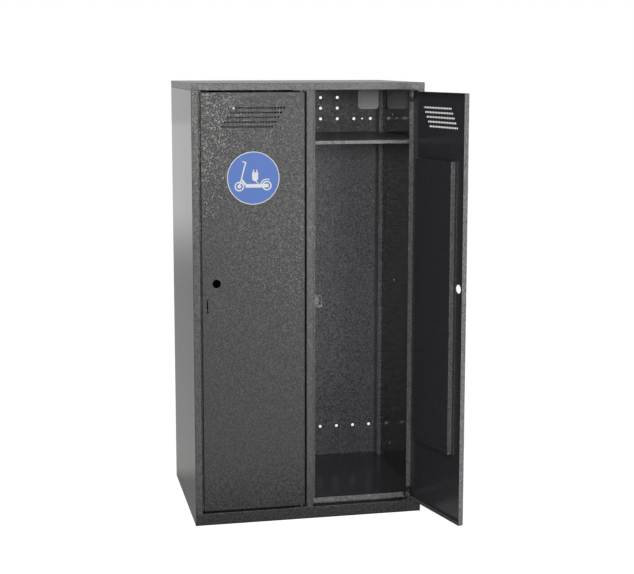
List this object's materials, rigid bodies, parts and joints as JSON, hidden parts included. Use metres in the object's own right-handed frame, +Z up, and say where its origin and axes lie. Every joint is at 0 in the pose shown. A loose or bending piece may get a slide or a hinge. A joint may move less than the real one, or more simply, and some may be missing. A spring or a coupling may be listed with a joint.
{
  "type": "scooter charging locker",
  "caption": "Tall folded sheet steel locker with side-by-side compartments for charging scooters, with hinged perforated doors, shelves, cable ducts and lidded sockets; shown with a door open.",
  "frame": {"origin": "middle of the cabinet's base, on the ground", "axes": "+Z up, the doors face -Y, +X to the right as seen by someone facing the doors"},
  "size_m": [0.8542, 0.9207, 1.512],
  "materials": {
    "powder_coat": "textured",
    "zinc": "satin",
    "nylon": "matte",
    "socket_plastic": "satin",
    "rubber": "matte"
  },
  "bodies": {
    "cabinet": {"left_side_panel": "powder_coat", "right_side_panel": "powder_coat", "centre_mullion": "powder_coat", "centre_partition": "powder_coat", "back_panel": "powder_coat", "roof_panel": "powder_coat", "top_cap": "powder_coat", "plinth_front_rail": "powder_coat", "plinth_rear_rail": "powder_coat", "left_floor_bearer": "powder_coat", "right_floor_bearer": "powder_coat", "centre_floor_bearer": "powder_coat", "left_floor_pan": "powder_coat", "right_floor_pan": "powder_coat", "left_shelf": "powder_coat", "right_shelf": "powder_coat", "left_shelf_ledge": "powder_coat", "right_shelf_ledge": "powder_coat", "left_rear_strip": "powder_coat", "right_rear_strip": "powder_coat", "left_cable_duct": "powder_coat", "right_cable_duct": "powder_coat", "left_duct_cover": "powder_coat", "right_duct_cover": "powder_coat", "left_strike": "powder_coat", "right_strike": "powder_coat", "left_hinge_plates": "powder_coat", "right_hinge_plates": "powder_coat", "left_hinge_pins": "zinc", "right_hinge_pins": "zinc", "left_socket_housing": "socket_plastic", "right_socket_housing": "socket_plastic", "left_socket_insert": "socket_plastic", "right_socket_insert": "socket_plastic", "left_lid_pin": "zinc", "right_lid_pin": "zinc", "left_cable_grommet": "rubber", "right_cable_grommet": "rubber"},
    "left_door": {"left_door_skin": "powder_coat", "left_door_stiffener": "powder_coat", "left_pivot_brackets": "powder_coat", "left_door_bushes": "nylon"},
    "left_lid": {"left_socket_lid": "socket_plastic"},
    "right_door": {"right_door_skin": "powder_coat", "right_door_stiffener": "powder_coat", "right_pivot_brackets": "powder_coat", "right_door_bushes": "nylon"},
    "right_lid": {"right_socket_lid": "socket_plastic"}
  },
  "joints": [
    {"name": "left_door_hinge", "type": "hinge", "parent": "cabinet", "child": "left_door", "pos_m": [-0.02775, -0.2875, 0.766], "axis": [0, 0, 1], "range_deg": [0, 104]},
    {"name": "right_door_hinge", "type": "hinge", "parent": "cabinet", "child": "right_door", "pos_m": [0.35975, -0.2875, 0.766], "axis": [0, 0, 1], "range_deg": [-104, 0]},
    {"name": "left_lid_hinge", "type": "hinge", "parent": "cabinet", "child": "left_lid", "pos_m": [-0.0576, 0.2433, 1.476], "axis": [-1, 0, 0], "range_deg": [0, 90], "stiffness_Nm_per_rad": 0.02, "springref_deg": -17.19},
    {"name": "right_lid_hinge", "type": "hinge", "parent": "cabinet", "child": "right_lid", "pos_m": [0.3418, 0.2433, 1.476], "axis": [-1, 0, 0], "range_deg": [0, 90], "stiffness_Nm_per_rad": 0.02, "springref_deg": -17.19}
  ]
}
